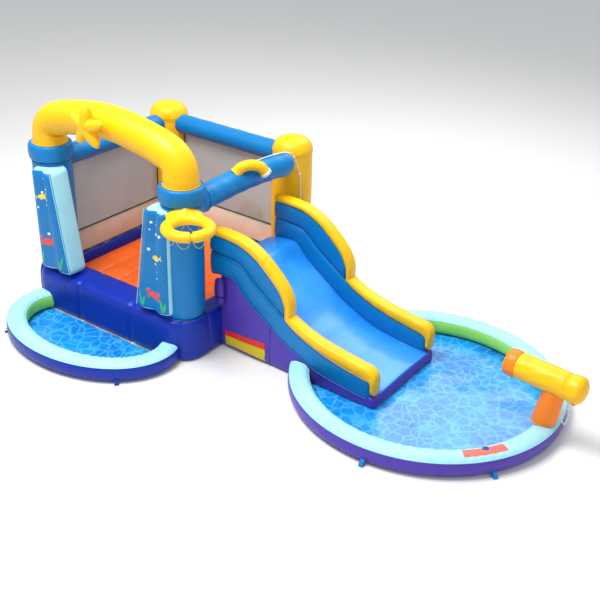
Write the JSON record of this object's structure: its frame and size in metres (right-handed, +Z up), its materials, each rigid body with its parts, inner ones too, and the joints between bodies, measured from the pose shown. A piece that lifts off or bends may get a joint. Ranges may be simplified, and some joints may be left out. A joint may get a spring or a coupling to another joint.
{
  "type": "inflatable bounce house",
  "caption": "Inflatable bounce house with an arched entrance, net walls, a walled water slide, paddling pools, a ball hoop, a water cannon and an air blower.",
  "frame": {"origin": "on the ground, under the middle of the square house, at the centre of the bounce floor's underside footprint", "axes": "+X along the slide from the house to the large pool, +Y from the entrance to the back of the house, +Z up"},
  "size_m": [5.6041, 3.7245, 2.3559],
  "materials": {
    "sky_fabric": "satin",
    "royal_fabric": "satin",
    "aqua_fabric": "satin",
    "yellow_fabric": "satin",
    "purple_fabric": "satin",
    "orange_fabric": "satin",
    "net_mesh": "matte",
    "skirt_fabric": "matte",
    "pool_print": "satin",
    "bed_fabric": "satin",
    "clear_hose": "gloss",
    "white_plastic": "satin",
    "lime_plastic": "satin",
    "green_plastic": "satin",
    "black_plastic": "satin",
    "steel": "satin"
  },
  "bodies": {
    "root": {"base_front_wall": "royal_fabric", "base_back_wall": "royal_fabric", "base_left_wall": "royal_fabric", "base_right_wall": "royal_fabric", "bounce_floor": "orange_fabric", "front_left_column": "sky_fabric", "front_right_column": "sky_fabric", "back_left_column": "yellow_fabric", "back_right_column": "yellow_fabric", "entrance_arch": "yellow_fabric", "star_figure": "yellow_fabric", "left_rail": "sky_fabric", "back_rail": "sky_fabric", "right_rail": "sky_fabric", "left_net": "net_mesh", "left_net_skirt": "skirt_fabric", "back_net": "net_mesh", "back_net_skirt": "skirt_fabric", "front_left_panel": "sky_fabric", "front_right_panel": "sky_fabric", "small_pool_ring": "aqua_fabric", "small_pool_floor": "pool_print", "big_pool_ring": "aqua_fabric", "big_pool_floor": "pool_print", "slide_base": "purple_fabric", "slide_bed": "bed_fabric", "near_lower_wall": "sky_fabric", "near_upper_wall": "sky_fabric", "near_wall_cap": "yellow_fabric", "far_lower_wall": "sky_fabric", "far_upper_wall": "sky_fabric", "far_wall_cap": "yellow_fabric", "cannon_post": "orange_fabric", "hoop_ring": "yellow_fabric", "hoop_pad": "yellow_fabric", "sprinkler_tube": "yellow_fabric", "sprinkler_nozzle": "white_plastic", "upper_hose": "clear_hose", "hose_tee": "white_plastic", "lower_hose": "clear_hose", "inflation_sleeve": "royal_fabric", "sleeve_strap": "black_plastic", "spare_sleeve": "purple_fabric", "zip_tape": "black_plastic", "blower_front_casing": "lime_plastic", "blower_rear_casing": "lime_plastic", "intake_ring": "lime_plastic", "intake_grille": "green_plastic", "motor": "black_plastic", "outlet_mesh": "steel", "switch_box": "lime_plastic", "cable_gland": "black_plastic"},
    "cannon": {"cannon_barrel": "yellow_fabric", "cannon_muzzle": "orange_fabric", "cannon_loop": "yellow_fabric", "cannon_hose": "clear_hose"},
    "fan": {"impeller": "white_plastic", "motor_shaft": "steel"},
    "switch": {"rocker_switch": "black_plastic"},
    "zip": {"zip_slider": "steel"}
  },
  "joints": [
    {"name": "cannon_aim", "type": "hinge", "parent": "root", "child": "cannon", "pos_m": [4.2575, 0, 0.472], "axis": [0, 0, 1], "range_deg": [-18, 18], "stiffness_Nm_per_rad": 12},
    {"name": "fan_spin", "type": "hinge", "parent": "root", "child": "fan", "pos_m": [-0.35, 1.65, 0.235], "axis": [1, 0, 0], "continuous": true},
    {"name": "rocker_tilt", "type": "hinge", "parent": "root", "child": "switch", "pos_m": [-0.402, 1.446, 0.26], "axis": [1, 0, 0], "range_deg": [0, 14]},
    {"name": "zip_travel", "type": "slide", "parent": "root", "child": "zip", "axis": [1, 0, 0], "range_m": [0, 0.32]}
  ]
}
